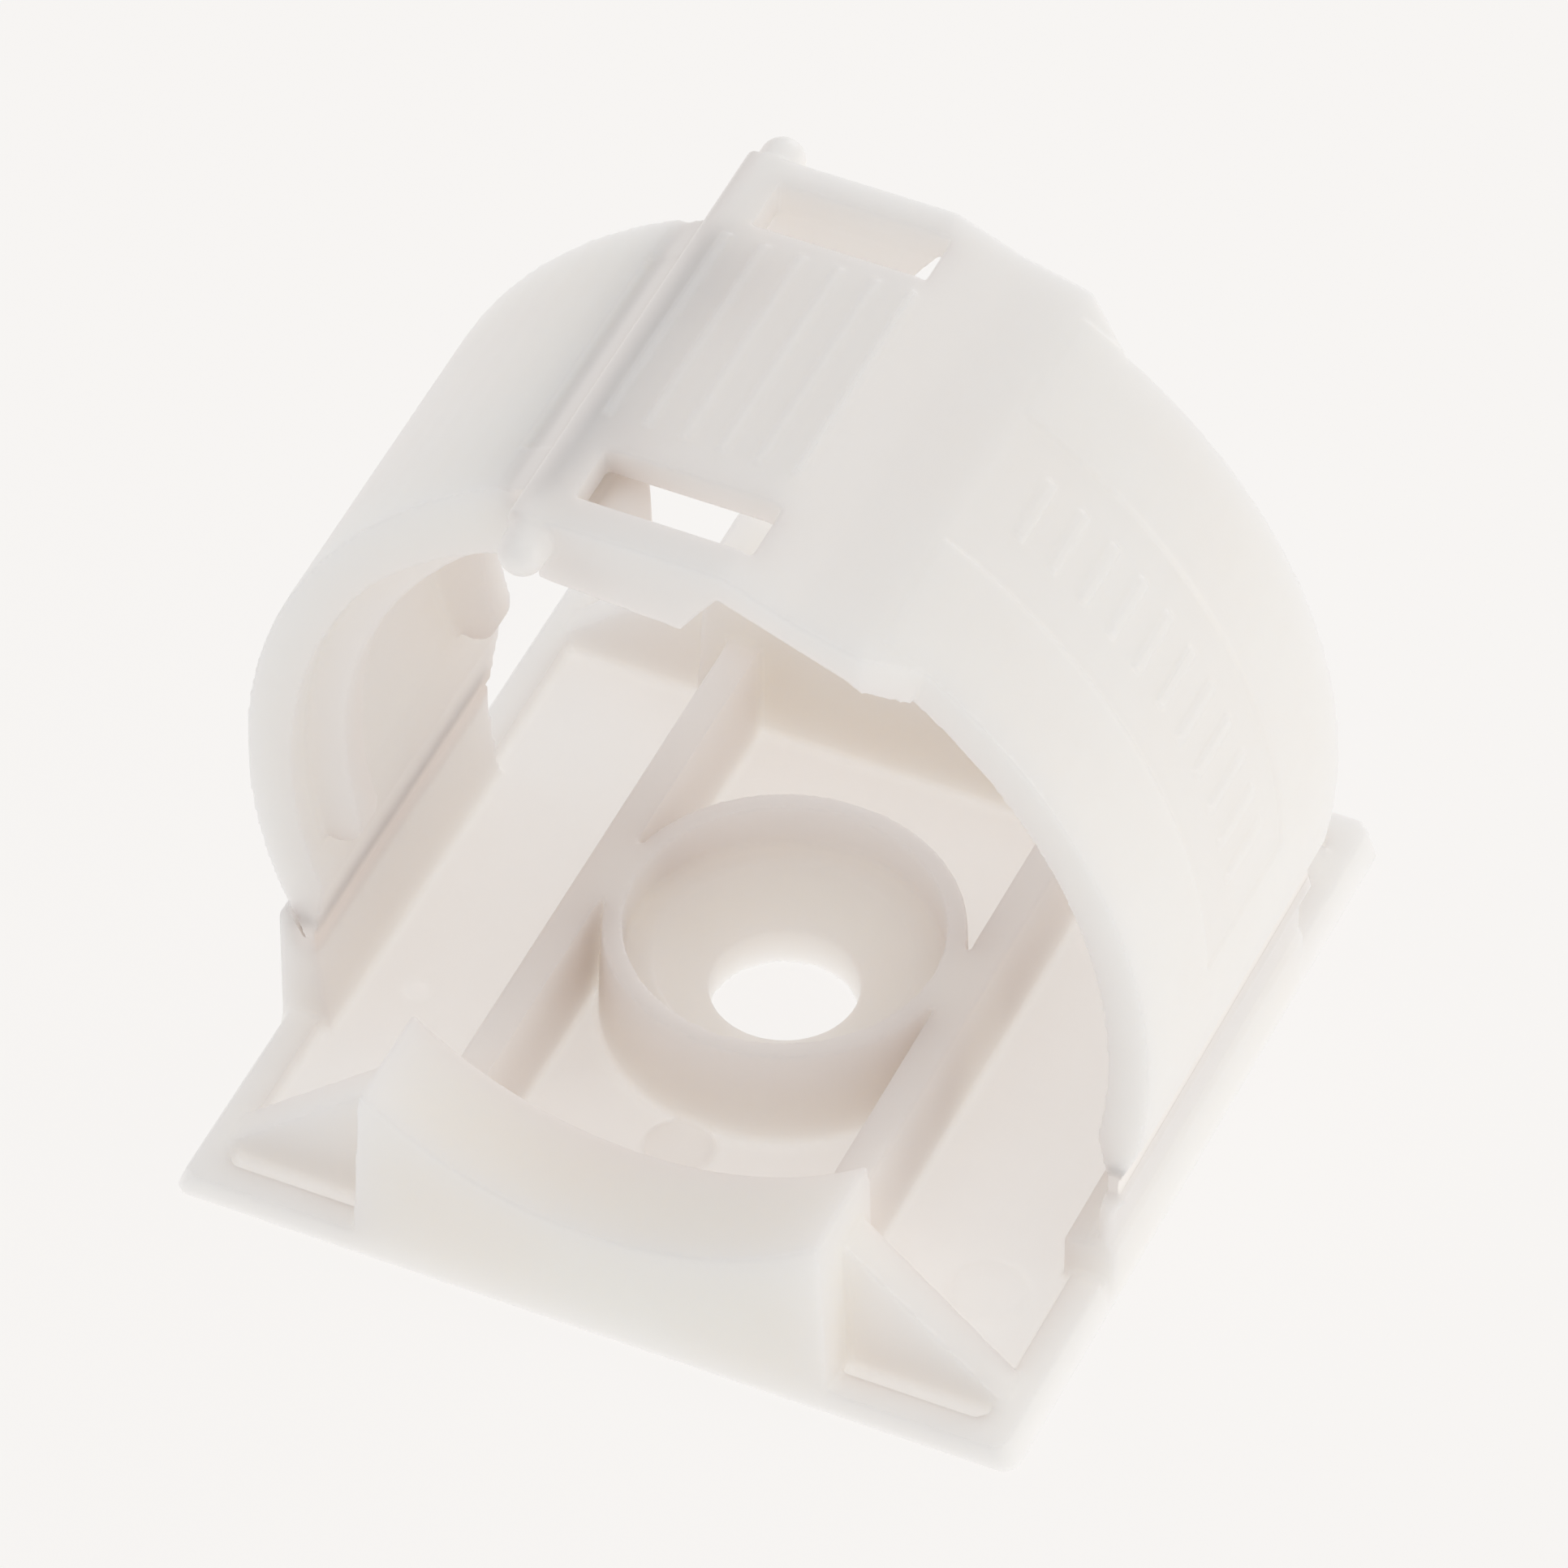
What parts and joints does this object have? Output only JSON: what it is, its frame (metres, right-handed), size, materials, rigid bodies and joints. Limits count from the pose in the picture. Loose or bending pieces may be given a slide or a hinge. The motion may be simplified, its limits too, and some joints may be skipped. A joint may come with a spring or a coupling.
{
  "type": "hinged pipe clip",
  "caption": "Screw-down pipe clip moulded in one piece: saddle base, hinged curved straps that form a ring, and a snap latch plate over the top.",
  "frame": {"origin": "under the middle of the base, on the face that lies on the wall", "axes": "+Z out of the wall towards the latch, +Y along the pipe to the back, +X from the left strap to the right strap"},
  "size_m": [0.0298, 0.0286, 0.0271],
  "materials": {
    "natural_plastic": "satin, translucent natural polypropylene",
    "thin_plastic": "satin, thin flexing web of the same moulding"
  },
  "bodies": {
    "base": {"base": "natural_plastic", "left_living_hinge": "thin_plastic", "right_living_hinge": "thin_plastic"},
    "left_strap": {"left_strap": "natural_plastic"},
    "right_strap": {"right_strap": "natural_plastic", "latch_neck": "thin_plastic"},
    "latch_plate": {"latch_plate": "natural_plastic"}
  },
  "joints": [
    {"name": "right_hinge", "type": "hinge", "parent": "base", "child": "right_strap", "pos_m": [0.0139, 0.00055, 0.0054], "axis": [0, 1, 0], "range_deg": [0, 100], "deforming": ["right_living_hinge"]},
    {"name": "left_hinge", "type": "hinge", "parent": "base", "child": "left_strap", "pos_m": [-0.013, -0.0005, 0.0045], "axis": [0, -1, 0], "range_deg": [0, 12], "deforming": ["left_living_hinge"]},
    {"name": "latch_flex", "type": "hinge", "parent": "right_strap", "child": "latch_plate", "pos_m": [0.00678, 0.00055, 0.02422], "axis": [0, 1, 0], "range_deg": [0, 12], "stiffness_Nm_per_rad": 0.0015, "deforming": ["latch_neck"]}
  ],
  "couplings": [
    {"joint": "left_hinge", "follows": "right_hinge", "ratio": 0.12}
  ]
}
